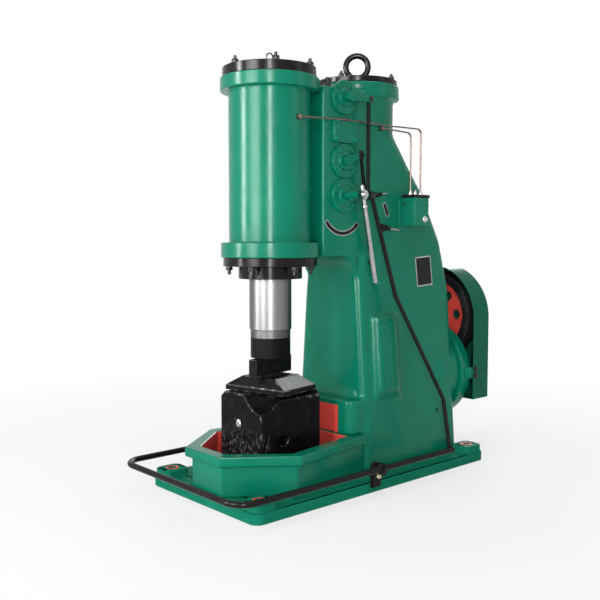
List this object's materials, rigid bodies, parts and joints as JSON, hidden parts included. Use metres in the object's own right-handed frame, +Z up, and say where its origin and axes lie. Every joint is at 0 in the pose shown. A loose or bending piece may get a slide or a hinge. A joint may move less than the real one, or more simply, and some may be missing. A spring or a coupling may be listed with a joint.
{
  "type": "pneumatic forging hammer",
  "caption": "Self-contained pneumatic forging hammer with an upright ram cylinder, rear compressor column, anvil trough, foot treadle and belt drive.",
  "frame": {"origin": "middle of the underside of the base plate, on the floor", "axes": "+Z up, front with the ram and anvil towards -Y, valve levers and lubricator on the +X side"},
  "size_m": [0.934, 1.884, 2.117],
  "materials": {
    "frame_green": "gloss enamel",
    "satin_black": "satin black paint",
    "forged_black": "blackened forged steel",
    "ram_steel": "ground and polished",
    "lever_chrome": "bright chrome",
    "wheel_red": "red primer",
    "belt_rubber": "matt rubber",
    "pulley_iron": "turned iron",
    "copper_pipe": "bare copper tube"
  },
  "bodies": {
    "frame": {"base_plate": "frame_green", "anvil_trough": "frame_green", "sow_block": "forged_black", "lower_die": "forged_black", "gland_flange": "satin_black", "gland_ring": "satin_black", "working_cylinder": "frame_green", "cylinder_cover": "satin_black", "frame_column": "frame_green", "compressor_cover": "satin_black", "lifting_eye": "satin_black", "upper_valve_cover": "frame_green", "middle_valve_cover": "frame_green", "lower_valve_cover": "frame_green", "port_cover": "frame_green", "treadle_bracket_right": "satin_black", "treadle_bracket_left": "satin_black", "lubricator_bracket": "frame_green", "lubricator_box": "frame_green", "lubricator_lid": "satin_black", "oil_pipe_front": "copper_pipe", "oil_pipe_rear": "copper_pipe", "motor_flange": "frame_green", "bearing_cover": "frame_green", "drive_belts": "belt_rubber", "motor_pulley": "pulley_iron", "belt_guard": "frame_green"},
    "ram": {"ram": "ram_steel", "upper_die": "forged_black"},
    "treadle": {"treadle_bar": "satin_black"},
    "rod": {"treadle_rod": "satin_black"},
    "lower_valve": {"lower_valve_arm": "frame_green", "hand_lever": "lever_chrome"},
    "link": {"link_bar": "satin_black"},
    "upper_valve": {"upper_valve_arm": "frame_green"},
    "middle_lever": {"middle_valve_lever": "satin_black"},
    "flywheel": {"flywheel": "wheel_red"}
  },
  "joints": [
    {"name": "ram_slide", "type": "slide", "parent": "frame", "child": "ram", "axis": [0, 0, 1], "range_m": [0, 0.34]},
    {"name": "flywheel_spin", "type": "hinge", "parent": "frame", "child": "flywheel", "pos_m": [0, 0.86, 0.755], "axis": [0, 1, 0], "continuous": true},
    {"name": "treadle_tilt", "type": "hinge", "parent": "frame", "child": "treadle", "pos_m": [0, -0.085, 0.122], "axis": [1, 0, 0], "range_deg": [0, 6], "stiffness_Nm_per_rad": 400, "springref_deg": -17.19},
    {"name": "rod_swing", "type": "hinge", "parent": "treadle", "child": "rod", "pos_m": [0.428, 0.442, 0.122], "axis": [1, 0, 0], "range_deg": [-6, 0]},
    {"name": "lower_valve_turn", "type": "hinge", "parent": "frame", "child": "lower_valve", "pos_m": [0.2, -0.08, 1.379], "axis": [1, 0, 0], "range_deg": [0, 27]},
    {"name": "link_swing", "type": "hinge", "parent": "lower_valve", "child": "link", "pos_m": [0.24, 0.038, 1.379], "axis": [1, 0, 0], "range_deg": [-27, 0]},
    {"name": "upper_valve_turn", "type": "hinge", "parent": "frame", "child": "upper_valve", "pos_m": [0.2, -0.08, 1.836], "axis": [1, 0, 0], "range_deg": [0, 27]},
    {"name": "middle_lever_turn", "type": "hinge", "parent": "frame", "child": "middle_lever", "pos_m": [0.2, -0.08, 1.541], "axis": [1, 0, 0], "range_deg": [-20, 20]}
  ],
  "couplings": [
    {"joint": "rod_swing", "follows": "treadle_tilt", "ratio": -0.935},
    {"joint": "lower_valve_turn", "follows": "treadle_tilt", "ratio": 4.37},
    {"joint": "link_swing", "follows": "treadle_tilt", "ratio": -4.37},
    {"joint": "upper_valve_turn", "follows": "treadle_tilt", "ratio": 4.37}
  ]
}
